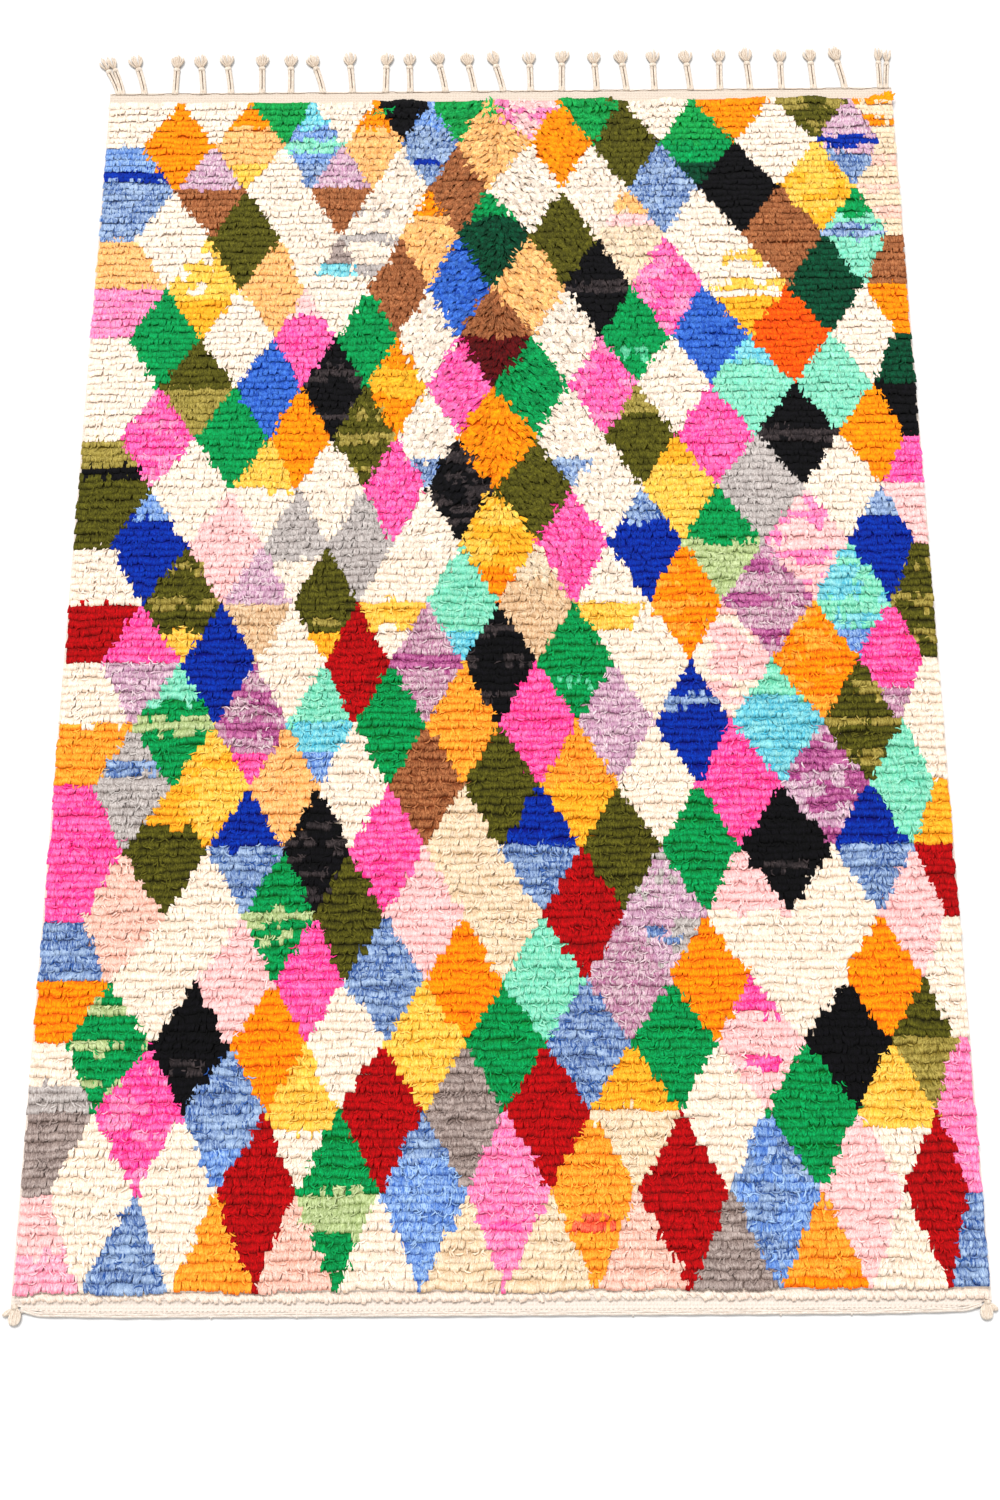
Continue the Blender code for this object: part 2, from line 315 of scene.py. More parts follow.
def mark_reach(mark, height, side, x, y, seed):
    """Where in a lozenge a second yarn lies."""
    speckle = patches(x, y, EDGE_SPECKLE, seed + 3) - 0.5
    rough = patches(x, y, EDGE_WAVE, seed) - 0.5 + 0.7 * speckle
    if mark in BELOW:
        return height < BELOW[mark] + 0.10 * rough
    if mark in STREAKS:
        streak = STREAKS[mark]
        wave = height - streak.middle + 0.12 * rough
        return (np.abs(wave) < streak.half) & (np.abs(side + 0.1 * rough) < streak.reach)
    if mark == "^":
        return height > TOP_FROM + 0.20 * rough
    if mark == "=":
        return np.cos((height + 0.08 * rough) * STRIPE_RATE) + 1.4 * rough > STRIPE_FROM
    return patches(x, y * SQUASH, MARK_PATCH, seed + 7) + 0.35 * speckle > PATCH_FROM


def yarn_of(x, y):
    """Index of the yarn at each point of the pile."""
    column, band = lattice_places(x, y)
    up, down = np.rint((column + band) / 2), np.rint((column - band) / 2)
    column_at = np.clip(up + down, 0, len(COLUMNS) - 1).astype(int)
    band_at = (up - down).astype(int)
    height, side = band - band_at, column - column_at
    band_at = np.abs(band_at)
    band_at = np.where(band_at >= len(BANDS), 2 * len(BANDS) - 2 - band_at, band_at)
    found = np.zeros(len(x), int)
    for line, names in enumerate(BANDS):
        for place, entry in enumerate(names.split()):
            here = np.flatnonzero((band_at == line) & (column_at == 2 * place + line % 2))
            for mark, name in re.findall(r"([/;^_=~':-]?)([a-z]+)", entry):
                reach = here
                if mark:
                    seed = 100 * line + place
                    inside = mark_reach(mark, height[here], side[here], x[here], y[here], seed)
                    reach = here[inside]
                found[reach] = YARN_AT[name]
    return found


def mottled(yarn, x, y, seed):
    """Main colour of each yarn end, in blotches nearer to that of the odd strands."""
    blotch = 0.6 * patches(x, y * SQUASH, 34 * MM, seed) + 0.4 * patches(x, y * 1.6, 13 * MM, seed + 1)
    share = np.clip((blotch - 0.45) * 3.2, 0, 1) * MOTTLE[yarn]
    return MAIN[yarn] + (ODD[yarn] - MAIN[yarn]) * share[:, None]


def darken(colour, amount):
    """The yarn's colour with painted shade as deep as amount says, as in the creases between tufts."""
    amount = np.asarray(amount)[..., None]
    return np.clip(colour, 0, 1) ** (1 + 1.1 * amount) * (1 - 0.28 * amount)


def shaded(points, quads, main, odd, shade, lay, cell):
    """A shape in two colours, with painted shade at each point as deep as shade says."""
    main, odd = (darken(np.broadcast_to(colour, points.shape), shade) for colour in (main, odd))
    return Shape(points.reshape(-1, 3), quads, main.reshape(-1, 3), odd.reshape(-1, 3),
                 lay.reshape(-1, 2), cell.reshape(-1, 2))


FLAT_STAY = 0.8  # how much of a combed tongue's height its tip keeps
FLAT_LIGHTER = 0.9  # FLAT_LIGHTER = 0.9 # how much of its painted crease shade it loses
BLADE_MARGIN = 0.06  # empty rim of a tongue's cell in the baked picture
BLADE_CELL = 1 - 2 * BLADE_MARGIN


def blades(rng, roots, heading, curl, length, width, rise, sections, main, odd, edge, flat=0.0, arch=1.0):
    """Tongues of yarn. Each starts at its root, runs along its heading and arches over its width.

    A heading of 0 points to the near end. Flat is how far from 0 to 1 a tongue's tip stays up, arch how
    much its edges drop, and edge how much painted shade its sides take. Each section's shade is painted
    crease shade.
    """
    count = len(roots)
    spread = (count, len(sections), 3)
    points = np.zeros((*spread, 3))
    shade = np.zeros(spread)
    lay = np.zeros((*spread, 2))
    cell = np.zeros((*spread, 2))
    start = rng.uniform(0, 1, (count, 2))
    per_line = math.ceil(math.sqrt(count))
    number = np.arange(count)
    for s, section in enumerate(sections):
        middle_turn = heading + curl * section.along / 2
        turn = heading + curl * section.along
        reach = length * section.along
        x = roots[:, 0] + reach * np.sin(middle_turn)
        y = roots[:, 1] - reach * np.cos(middle_turn)
        stay = FLAT_STAY if section.along > 0 else 0
        lift = section.rise + flat * (FLAT_RISE - section.rise) * stay
        # painted crease shade, mostly taken off on combed tongues
        deep = section.shade * (1 - FLAT_LIGHTER * flat)
        for a, across in enumerate((-1, 0, 1)):
            half = across * width * section.spread / 2
            points[:, s, a, 0] = x + half * np.cos(turn)
            points[:, s, a, 1] = y + half * np.sin(turn)
            points[:, s, a, 2] = roots[:, 2] + rise * (lift - section.drop * abs(across) * arch)
            # painted shade: the section's crease shade, and more towards the tongue's sides
            shade[:, s, a] = np.clip(deep + edge * abs(across) * arch, 0, 1)
            lay[:, s, a, 0] = start[:, 0] + half
            lay[:, s, a, 1] = start[:, 1] + reach
            in_cell = BLADE_MARGIN + BLADE_CELL / 2 * (across + 1)
            cell[:, s, a, 0] = (number % per_line + in_cell) / per_line
            cell[:, s, a, 1] = (number // per_line + BLADE_MARGIN + BLADE_CELL * section.along) / per_line
    corner = np.arange(len(sections) * 3).reshape(len(sections), 3)
    tongue = np.array([
        (corner[s, a], corner[s + 1, a], corner[s + 1, a + 1], corner[s, a + 1])
        for s in range(len(sections) - 1)
        for a in (0, 1)
    ])
    quads = (tongue[None] + corner.size * number[:, None, None]).reshape(-1, 4)
    return shaded(points, quads, main[:, None, None], odd[:, None, None], shade, lay, cell)


def join(shapes):
    """Several shapes as one. Their baking cells are set side by side."""
    first = np.cumsum([0] + [len(shape.points) for shape in shapes[:-1]])
    quads = [shape.quads + start for shape, start in zip(shapes, first)]
    cells = [(shape.cell + [number, 0]) / [len(shapes), 1] for number, shape in enumerate(shapes)]
    points, main, odd, lay = (
        np.concatenate([getattr(shape, part) for shape in shapes])
        for part in ("points", "main", "odd", "lay")
    )
    return Shape(points, np.concatenate(quads), main, odd, lay, np.concatenate(cells))


def path_of(x, y, z):
    """Points of a line; a single number holds for all of them."""
    return np.stack(np.broadcast_arrays(x, y, z), axis=1)


def ring_quads(lines, around):
    """Faces between closed lines with the same count of points around each."""
    ring = np.arange(around)
    after = (ring + 1) % around
    base = np.arange(lines - 1)[:, None] * around
    quads = np.stack([base + ring, base + after, base + around + after, base + around + ring], -1)
    return quads.reshape(-1, 4)


def cap_quads(sides):
    """Faces that close a ring with an even count of sides."""
    return np.array([(k, k + 1, sides - k - 2, sides - k - 1) for k in range(sides // 2 - 1)])


TUBE_MARGIN = 0.05  # empty rim of a tube's cell in the baked picture
TUBE_CELL = 1 - 2 * TUBE_MARGIN


def tube(path, across, high, sides, yarn, start=0.0, shade=0.0):
    """A yarn or cord along a path over the plane, closed at both ends.

    Across and high are its half sizes, and start is where in its texture it begins.
    """
    count = len(path)
    along = np.gradient(path[:, :2], axis=0)
    along /= np.maximum(np.linalg.norm(along, axis=1), 1e-9)[:, None]
    steps = np.linalg.norm(np.diff(path, axis=0), axis=1)
    reach = np.concatenate([[0], np.cumsum(steps)])[:, None]
    angles = np.arange(sides) * 2 * math.pi / sides + math.pi / sides
    across = np.broadcast_to(across, count)[:, None] * np.cos(angles)
    up = np.broadcast_to(high, count)[:, None] * np.sin(angles)
    points = np.zeros((count, sides, 3))
    points[:, :, 0] = path[:, 0, None] - along[:, 1, None] * across
    points[:, :, 1] = path[:, 1, None] + along[:, 0, None] * across
    points[:, :, 2] = path[:, 2, None] + up
    lay = np.stack(np.broadcast_arrays(start + across + 0.3 * up, start + reach), -1)
    cell_across = TUBE_MARGIN + TUBE_CELL * np.arange(sides)[None] / sides
    cell_along = TUBE_MARGIN + TUBE_CELL * np.arange(count)[:, None] / count
    cell = np.stack(np.broadcast_arrays(cell_across, cell_along), -1)
    near_cap = cap_quads(sides)
    far_cap = near_cap[:, ::-1] + (count - 1) * sides
    quads = np.concatenate([ring_quads(count, sides)[:, ::-1], near_cap, far_cap])
    index = YARN_AT[yarn]
    tone = np.broadcast_to(shade, (sides, count)).T
    return shaded(points, quads, MAIN[index], ODD[index], tone, lay, cell)


def fill(tree, node, inputs):
    """Each input takes a number or what comes out of another node."""
    for place, value in inputs.items():
        if isinstance(value, bpy.types.NodeSocket):
            tree.links.new(value, node.inputs[place])
        else:
            node.inputs[place].default_value = value
    return node.outputs


def noise_along(tree, scale, detail, roughness, distortion):
    """Noise laid along the yarn, stretched by scale across and along it."""
    lay = tree.nodes.new("ShaderNodeUVMap")
    lay.uv_map = "lay"
    stretch = tree.nodes.new("ShaderNodeMapping")
    place = fill(tree, stretch, {"Vector": lay.outputs["UV"], "Scale": scale})["Vector"]
    look = {"Scale": 1.0, "Detail": detail, "Roughness": roughness, "Distortion": distortion}
    return fill(tree, tree.nodes.new("ShaderNodeTexNoise"), {"Vector": place, **look})["Fac"]


def mapped(tree, value, low, high, easing="LINEAR"):
    """The value's share of the way from low to high."""
    node = tree.nodes.new("ShaderNodeMapRange")
    node.interpolation_type = easing
    return fill(tree, node, {"Value": value, "From Min": low, "From Max": high})["Result"]


def worked_out(tree, operation, *values):
    """One step of arithmetic with these values."""
    node = tree.nodes.new("ShaderNodeMath")
    node.operation = operation
    return fill(tree, node, dict(enumerate(values)))["Value"]


def mixed(tree, factor, first, second, blend="MIX"):
    """Two colours mixed by the factor."""
    node = tree.nodes.new("ShaderNodeMix")
    node.data_type = "RGBA"
    node.blend_type = blend
    return fill(tree, node, {"Factor": factor, "A": first, "B": second})["Result"]


def colour_layer(tree, layer):
    """One of the two yarn colours that the mesh holds."""
    node = tree.nodes.new("ShaderNodeVertexColor")
    node.layer_name = layer
    return node.outputs["Color"]


def curl_grooves(tree, grain):
    """0 in the fine curling grooves between fibres and 1 beside them."""
    curls = noise_along(tree, (grain * 0.75, grain * 0.28, 1), 1.5, 0.5, 1.6)
    away = worked_out(tree, "ABSOLUTE", worked_out(tree, "SUBTRACT", curls, 0.5))
    return mapped(tree, away, 0.0, 0.07, "SMOOTHSTEP")


def weave_height(tree, count):
    """Height of a plain weave with so many threads a metre."""
    place = tree.nodes.new("ShaderNodeTexCoord").outputs["Object"]
    waves = []
    for direction in ("X", "Y"):
        wave = tree.nodes.new("ShaderNodeTexWave")
        wave.bands_direction = direction
        inputs = {"Vector": place, "Scale": count / 6.3, "Distortion": 1.2, "Detail": 1.0}
        waves.append(fill(tree, wave, inputs)["Fac"])
    return worked_out(tree, "MULTIPLY", *waves)


def yarn_material(name, grain, strand_bump, groove, weave=None):
    """Matt yarn in two colours mixed in strands along it, with bumped grooves between its curls and painted
    shade in them.
    """
    material = bpy.data.materials.new(name)
    material.use_nodes = True
    tree = material.node_tree
    strands = noise_along(tree, (grain, grain * 0.22, 1), 3.0, 0.6, 0.0)
    share = mapped(tree, strands, 0.42, 0.62)
    colour = mixed(tree, share, colour_layer(tree, "main"), colour_layer(tree, "odd"))
    crease = curl_grooves(tree, grain)
    # painted shade in the grooves between the curls
    groove_shade = worked_out(tree, "MULTIPLY_ADD", crease, -groove, groove)
    if weave:
        height = weave_height(tree, weave)
    else:
        height = worked_out(tree, "MULTIPLY_ADD", crease, groove, strands)
    relief = {"Strength": strand_bump, "Distance": 3 * MM, "Height": height}
    bump = fill(tree, tree.nodes.new("ShaderNodeBump"), relief)
    fill(tree, tree.nodes["Principled BSDF"], {
        # base colour with the painted groove shade
        "Base Color": mixed(tree, groove_shade, colour, colour, "MULTIPLY"),
        "Roughness": 0.95,
        "Specular IOR Level": 0.15,
        "Sheen Weight": 0.04,
        "Sheen Roughness": 0.5,
        "Normal": bump["Normal"],
    })
    return material


def origin():
    """Where the middle of the pile's near edge lies on the frame."""
    low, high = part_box("rug")
    far_corner = CLOTH_END + FAR_SKEW * HALF_RUG / HALF_PILE
    return np.array([(low.x + high.x) / 2, high.y - far_corner, 0.0])


def on_frame(points):
    """The points set on the frame, with the rows' slight slant."""
    share = np.clip(points[:, 1] / PILE_LENGTH, 0, 1)
    slant = NEAR_SKEW + share * (FAR_SKEW - NEAR_SKEW)
    placed = points + origin()
    placed[:, 1] += slant * points[:, 0] / HALF_PILE
    return placed


def add_colours(mesh, domain, main, odd):
    """The two yarn colours of each point or face corner."""
    for layer, values in (("main", main), ("odd", odd)):
        attribute = mesh.color_attributes.new(layer, "FLOAT_COLOR", domain)
        filled = np.concatenate([values, np.ones((len(values), 1))], axis=1)
        attribute.data.foreach_set("color", filled.astype(np.float32).ravel())


def add_places(mesh, layer, places):
    """A UV layer with the place of each face corner."""
    uv = mesh.uv_layers.new(name=layer)
    uv.data.foreach_set("uv", places.astype(np.float32).ravel())


def add_object(name, data):
    """A new object in the scene."""
    made = bpy.data.objects.new(name, data)
    bpy.context.collection.objects.link(made)
    return made


def put_in_scene(name, mesh, materials):
    """The mesh as a piece that rides on the root body."""
    for material in materials:
        mesh.materials.append(material)
    mesh.update()
    piece = add_object(name, mesh)
    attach(piece, "root")
    return piece


def build(name, shape, material):
    """A smooth mesh piece of the shape, on the frame."""
    mesh = bpy.data.meshes.new(name)
    mesh.from_pydata(on_frame(shape.points), [], shape.quads)
    add_colours(mesh, "POINT", shape.main, shape.odd)
    corners = shape.quads.ravel()
    add_places(mesh, "lay", shape.lay[corners])
    add_places(mesh, "OFBake", shape.cell[corners])
    mesh.polygons.foreach_set("use_smooth", np.ones(len(shape.quads), bool))
    return put_in_scene(name, mesh, [material])


def furriness(x, y):
    """0 where the pile lies in tidy rows, up to 1 where it looks combed, most so by the middle line."""
    rough = patches(x, y, 0.12, 5) - 0.5
    reach = 0.25 + 0.75 * np.exp(-((x / FURRY_REACH) ** 2))
    return smooth_step(y + 0.3 * rough, FURRY_FROM, FURRY_RUN) * reach


def smoothness(y):
    """0 where the rows are plump, 1 in the far half, where they are low and close."""
    return smooth_step(y, 1.1, 0.6)


def fan_heading(x, y):
    """How far the strands near the middle line turn outwards in the furry part."""
    reach = np.exp(-((x / FAN_REACH) ** 2))
    return 0.85 * np.tanh(x / 0.03) * reach * smooth_step(y, FURRY_FROM, FURRY_RUN)


def clumps(rng, smallest, largest):
    """How far each yarn end is from the middle of its clump, -1 to 1, and its clump's random values."""
    places, values = [], []
    for _ in range(ROWS):
        sizes = rng.integers(smallest, largest + 1, ENDS)
        owner = np.repeat(np.arange(ENDS), sizes)[:ENDS]
        within = np.concatenate([np.arange(size) for size in sizes])[:ENDS]
        places.append((within + 0.5) / sizes[owner] * 2 - 1)
        values.append(rng.uniform(-1, 1, (ENDS, 3))[owner])
    return np.concatenate(places), np.concatenate(values)


END_WIDTH = PILE_WIDTH / ENDS
SIDE_CLEAR = 2 * MM  # how far in from the pile's sides the outermost roots stay
SMALLEST_CLUMP = 2
LARGEST_CLUMP = 9
Ends = namedtuple("Ends", "row x y knot_x place clump")


def lay_out_ends(rng, creases):
    """Two yarn ends for every knot, with each row shifted a little to one side."""
    row = np.repeat(np.arange(ROWS), ENDS)
    end = np.tile(np.arange(ENDS), ROWS)
    place, clump = clumps(rng, SMALLEST_CLUMP, LARGEST_CLUMP)
    stagger = rng.uniform(-0.8, 0.8, ROWS)[row]
    knot_x = (2 * (end // 2) + 1 + stagger) * END_WIDTH - HALF_PILE
    x = (end + 0.5 + stagger) * END_WIDTH - HALF_PILE - place * 0.3 * MM
    x = np.clip(x, SIDE_CLEAR - HALF_PILE, HALF_PILE - SIDE_CLEAR)
    y = creases[row] + 0.5 * np.diff(creases)[row]
    return Ends(row, x, y, knot_x, place, clump)


def row_wave(x, row, step, size, seed, swing):
    """Slow swing in metres along each row; size and swing in mm, and step keeps the rows' waves apart."""
    return (patches(x, row * step, size * MM, seed) - 0.5) * swing * MM


def pile_colours(rng, ends, yarn, soft):
    """Main and odd colour of every yarn end."""
    count = len(ends.x)
    swing = (0.06 + 0.16 * soft[:, None]) * rng.uniform(-1, 1, (count, 1))
    tone = 1 - 0.10 * soft[:, None] + swing + 0.04 * ends.clump[:, :1]
    own = ((0.5 + 0.5 * soft) * MOTTLE[yarn] * rng.uniform(0, 1, count) ** 2)[:, None]
    main = mottled(yarn, ends.x, ends.y, 23)
    main = (main + (ODD[yarn] - main) * own) * tone
    return main, ODD[yarn] * tone


def make_pile(material):
    """The rows of yarn ends, in four pieces."""
    rng = default_rng(21)
    creases = row_creases()
    ends = lay_out_ends(rng, creases)
    row, x, y, knot_x, place, clump = ends
    count = len(x)
    soft = furriness(x, y)
    even = 1 - 0.8 * smoothness(y)
    noise = rng.uniform(-1, 1, (7, count))
    plump = 1 - place * place
    wander = row_wave(x, row, 7.3, 70, 9, 9) + row_wave(x, row, 9.1, 26, 39, 6)
    edge_shift = row_wave(x, row, 3.1, 50, 13, 7)
    inmost = HALF_PILE - 0.1 * MM
    yarn = yarn_of(np.clip(knot_x + edge_shift, -inmost, inmost), y)
    root_y = creases[row + 1] + wander + (1.0 + 1.0 * noise[0]) * MM
    uneven_tip = 0.7 * noise[1] + 0.9 * clump[:, 0] + 2.4 * (plump - 0.5)
    tip_y = creases[row] + wander - (3.0 + uneven_tip * even) * MM
    length = (root_y - tip_y) * (1 + soft * (0.30 + 0.30 * noise[2]))
    inside = smooth_step(HALF_PILE - np.abs(x), 0, 25 * MM)
    swirl = (patches(x, row * 5.1, 20 * MM, 57) - 0.5) * 0.6
    sway = (0.08 * clump[:, 1] + swirl) * even + noise[3] * (0.08 + 0.22 * soft)
    heading = sway * inside + fan_heading(x, y)
    width = END_WIDTH * (1.50 + 0.25 * noise[4] + 0.25 * soft)
    uneven_rise = 0.4 * noise[5] + 0.3 * clump[:, 2] + 0.6 * (plump - 0.5)
    rise = (6.2 + uneven_rise * even * (1 - 0.6 * soft)) * MM
    arch = (0.34 + 0.28 * noise[6] + 0.3 * np.abs(place) ** 3) * even * (1 - 0.2 * soft)
    flat = 0.12 + 0.92 * (1 - even) * (1 - soft) + 0.70 * soft
    roots = path_of(x, root_y, BED_TOP)
    main, odd = pile_colours(rng, ends, yarn, soft)
    pieces = []
    for number, rows in enumerate(np.array_split(np.arange(ROWS), 4)):
        chosen = np.flatnonzero((row >= rows[0]) & (row <= rows[-1]))
        shape = blades(
            rng, roots[chosen], heading[chosen], 0.3 * noise[3][chosen], length[chosen], width[chosen],
            rise[chosen], TUFT, main[chosen], odd[chosen], 0.06, flat[chosen], arch[chosen],
        )
        pieces.append(build(f"pile_{number + 1}", shape, material))
    return pieces


def make_loose_strands(name, material, first_y, last_y, seed):
    """Single yarn ends over the pile, finer and combed in the far half."""
    rng = default_rng(seed)
    count = 16000
    x = rng.uniform(-0.785, 0.785, count)
    y = rng.uniform(first_y, last_y, count)
    creases = row_creases()
    row = np.clip(np.searchsorted(creases, y) - 1, 0, ROWS - 1)
    in_row = creases[row] + np.diff(creases)[row] * rng.uniform(0.38, 0.80, count)
    y = y + (in_row - y) * (1 - smoothness(y))
    yarn = yarn_of(x, y)
    calm = smoothness(y)
    wild = np.clip((MOTTLE[yarn] - 0.25) / 0.3, 0.2, 1) * (1 - calm)
    sway = (patches(x, y, 50 * MM, 17) - 0.5) * (0.7 + 2.4 * wild)
    heading = fan_heading(x, y) + sway + rng.normal(0, 1, count) * (0.28 + 0.75 * wild)
    curl = rng.normal(0, 1, count) * (0.5 + 1.3 * wild)
    length = (8 + 4 * np.maximum(calm, wild) + rng.uniform(0, 4, count)) * MM
    width = (rng.uniform(2.0, 3.1, count) - 0.3 * calm) * MM
    rise = (rng.uniform(1.1, 1.7, count) - 0.5 * calm) * MM
    low = (16.8 - 0.3 * calm + rng.uniform(-1.2, 0.4, count)) * MM
    roots = path_of(x - np.sin(heading) * length / 2, y + np.cos(heading) * length / 2, low)
    evener = 1 - 0.3 * calm[:, None]
    share = rng.uniform(0, 1, (count, 1)) ** 2 * (0.4 + 0.6 * MOTTLE[yarn][:, None]) * evener
    tone = 1 - 0.10 * furriness(x, y)[:, None] + rng.uniform(-0.12, 0.09, (count, 1)) * evener
    main = (MAIN[yarn] * (1 - share) + ODD[yarn] * share) * tone
    shape = blades(rng, roots, heading, curl, length, width, rise, LOOSE, main, main * 0.92, 0.2)
    return build(name, shape, material)


# Loose bunches of yarn ends, in mm; headings and turns in degrees, where 180 points to the fringe
Stray = namedtuple("Stray", "yarn x y spread count heading turn length wide")
STRAYS = [
    Stray("orange", 772, 2383, 46, 40, 124, 35, 24, 4.5),
    Stray("leaf", -34, 2374, 40, 14, 100, 220, 32, 5.0),
    Stray("emerald", -250, 2368, 60, 14, 60, 150, 20, 3.0),
    Stray("olive", 222, 2380, 26, 8, 150, 70, 20, 3.0),
    Stray("blush", 40, 2376, 60, 16, 150, 90, 16, 3.0),
    Stray("olive", 640, 2366, 70, 14, 60, 120, 18, 3.0),
]
STRAY_HEIGHT = 15.5 * MM


def make_strays(material):
    """Bunches of longer ends at the far edge of the pile."""
    rng = default_rng(47)
    shapes = []
    for stray in STRAYS:
        count = stray.count
        x = (stray.x + rng.uniform(-0.5, 0.5, count) * stray.spread) * MM
        y = (stray.y + rng.uniform(-8, 6, count)) * MM
        roots = path_of(np.minimum(x, 0.796), y, STRAY_HEIGHT)
        heading = np.radians(stray.heading + rng.uniform(-35, 35, count))
        curl = np.radians(rng.uniform(-1, 1, count) * stray.turn)
        length = stray.length * rng.uniform(0.75, 1.1, count) * MM
        main = MAIN[YARN_AT[stray.yarn]] * rng.uniform(0.9, 1.2, (count, 1))
        width = np.full(count, stray.wide * MM)
        rise = rng.uniform(1.8, 2.6, count) * MM
        shapes.append(blades(rng, roots, heading, curl, length, width, rise, LOOSE, main, main, 0.3))
    return build("stray_ends", join(shapes), material)


# A line all round the cloth: its Y, or a function of X that gives it, and the height of its top inside the
# pile's width and at the sides
Line = namedtuple("Line", "y top side", defaults=[BASE_TOP])
EDGE_TOP = 3.6 * MM  # the near band is thinnest at its edge


def roll_foot(x):
    """Y of a line between the near band's edge and the roll row."""
    return near_edge(x) * 0.3 - ROLL_DEPTH * 0.75


def cloth_lines(creases):
    """The cloth's lines from its near edge to its far one."""
    near = [
        Line(near_edge, EDGE_TOP, EDGE_TOP),
        Line(roll_foot, BASE_TOP),
        Line(-ROLL_DEPTH, BASE_TOP),
        Line(-0.7 * ROLL_DEPTH, ROLL_BED_TOP),
        Line(-2 * MM, ROLL_BED_TOP),
    ]
    bed = [Line(crease, BED_TOP) for crease in creases]
    far = [Line(PILE_LENGTH + 1 * MM, BASE_TOP), Line(CLOTH_END, BASE_TOP)]
    return near + bed + far


def ring_line(line, columns, under):
    """Points once round the cloth: under it left to right, then over it right to left."""
    over = columns[::-1]
    tops = np.where(np.abs(over) > HALF_PILE - 1 * MM, line.side, line.top)
    around = [(place, 0.0) for place in under]
    around += [(HALF_RUG, BASE_TOP), *zip(over, tops), (-HALF_RUG, BASE_TOP)]
    return [(x, line.y(x) if callable(line.y) else line.y, z) for x, z in around]


def make_cloth(pile_back, weave):
    """The woven ground in one closed sheet, with the bed of the pile and the knots' backs."""
    under = np.linspace(-HALF_RUG, HALF_RUG, 25)
    inner = HALF_PILE - 3 * MM
    columns = np.concatenate([[-HALF_PILE], np.linspace(-inner, inner, 62), [HALF_PILE]])
    lines = cloth_lines(row_creases())
    points = np.array([point for line in lines for point in ring_line(line, columns, under)])
    around = len(under) + len(columns) + 2
    quads = ring_quads(len(lines), around)
    middle = points[quads].mean(axis=1)
    is_under = np.tile(np.arange(around) < len(under) - 1, len(lines) - 1)
    in_pile = (middle[:, 1] > 0) & (middle[:, 1] < PILE_LENGTH) & (np.abs(middle[:, 0]) < HALF_PILE)
    yarn = np.full(len(quads), YARN_AT["near_band"])
    yarn[middle[:, 1] > PILE_LENGTH] = YARN_AT["far_band"]
    yarn[in_pile] = yarn_of(middle[in_pile, 0], middle[in_pile, 1])
    # painted shade on the bed that lies beneath the pile
    shade = np.where(in_pile & ~is_under, 0.55, 0.0)
    last = (len(lines) - 1) * around
    ends = [list(range(around))[::-1], list(range(last, last + around))]

    mesh = bpy.data.meshes.new("cloth")
    faces = quads.tolist() + ends
    mesh.from_pydata(on_frame(points).tolist(), [], faces)
    main, odd = (with_ends(darken(colours[yarn], shade), 2 * around) for colours in (MAIN, ODD))
    add_colours(mesh, "CORNER", main, odd)
    add_places(mesh, "lay", points[np.concatenate([quads.ravel(), *ends])][:, :2])
    mesh.polygons.foreach_set("use_smooth", np.zeros(len(faces), bool))
    piece = put_in_scene("cloth", mesh, [weave, pile_back])
    back = np.concatenate([is_under, np.zeros(len(ends), bool)])
    mesh.polygons.foreach_set("material_index", back.astype(np.int32))
    mesh.update()
    return piece


def with_ends(face_colours, end_corners):
    """A colour for each corner of the four-sided faces, and the first one for those of the end faces."""
    at_ends = np.broadcast_to(face_colours[0], (end_corners, 3))
    return np.concatenate([np.repeat(face_colours, 4, axis=0), at_ends])


ROLL_REACH = 0.797  # outermost strand from the middle line


def make_roll(material):
    """The cream row of plump strands between the pile and the near band."""
    rng = default_rng(41)
    count = 360
    x = np.linspace(-ROLL_REACH, ROLL_REACH, count) + rng.uniform(-1, 1, count) * MM
    heading = 0.45 + 0.25 * np.sin(x * 7) + rng.normal(0, 0.20, count)
    foot_x = np.clip(x - heading * 9 * MM, -ROLL_REACH, ROLL_REACH)
    roots = path_of(foot_x, rng.uniform(0.5, 2.5, count) * MM, 6.5 * MM)
    length = rng.uniform(18, 23, count) * MM
    width = rng.uniform(5.5, 8.0, count) * MM
    rise = rng.uniform(4.2, 5.2, count) * MM
    index = YARN_AT["roll"]
    tone = rng.uniform(0.95, 1.03, (count, 1))
    shape = blades(rng, roots, heading, 0, length, width, rise, TUFT,
                   MAIN[index] * tone, ODD[index] * tone, edge=0.08, flat=0.35, arch=0.7)
    return build("roll_row", shape, material)


# The fringe from left to right, in mm: root from the rug's middle, lean of the tip, length, and the widths
# of tuft and neck
Braid = namedtuple("Braid", "root lean length wide neck", defaults=[13])
BRAIDS = [
    Braid(-788, -40, 86, 17, 11), Braid(-779, -33, 91, 17, 11), Braid(-734, -27, 93, 27),
    Braid(-671, 1, 92, 28), Braid(-613, -11, 92, 28), Braid(-556, -15, 94, 27),
    Braid(-492, -4, 93, 27), Braid(-433, -3, 92, 28), Braid(-367, -27, 91, 28),
    Braid(-306, -10, 96, 27), Braid(-238, 1, 94, 28), Braid(-187, -4, 93, 26),
    Braid(-115, -20, 96, 28), Braid(-55, -19, 93, 28), Braid(4, -25, 95, 27),
    Braid(61, -3, 94, 28), Braid(125, 1, 98, 29), Braid(197, -6, 94, 27),
    Braid(258, -12, 95, 28), Braid(316, -3, 95, 27), Braid(390, -10, 94, 28),
    Braid(451, 1, 97, 27), Braid(513, -7, 98, 28), Braid(578, 0, 95, 27),
    Braid(644, -5, 96, 28), Braid(708, -19, 99, 27), Braid(781, 1, 96, 17, 11),
    Braid(793, 9, 92, 17, 11),
]
NECK_AT = 0.60  # part of a braid's length where its wrap begins
PLY_POINTS = 22
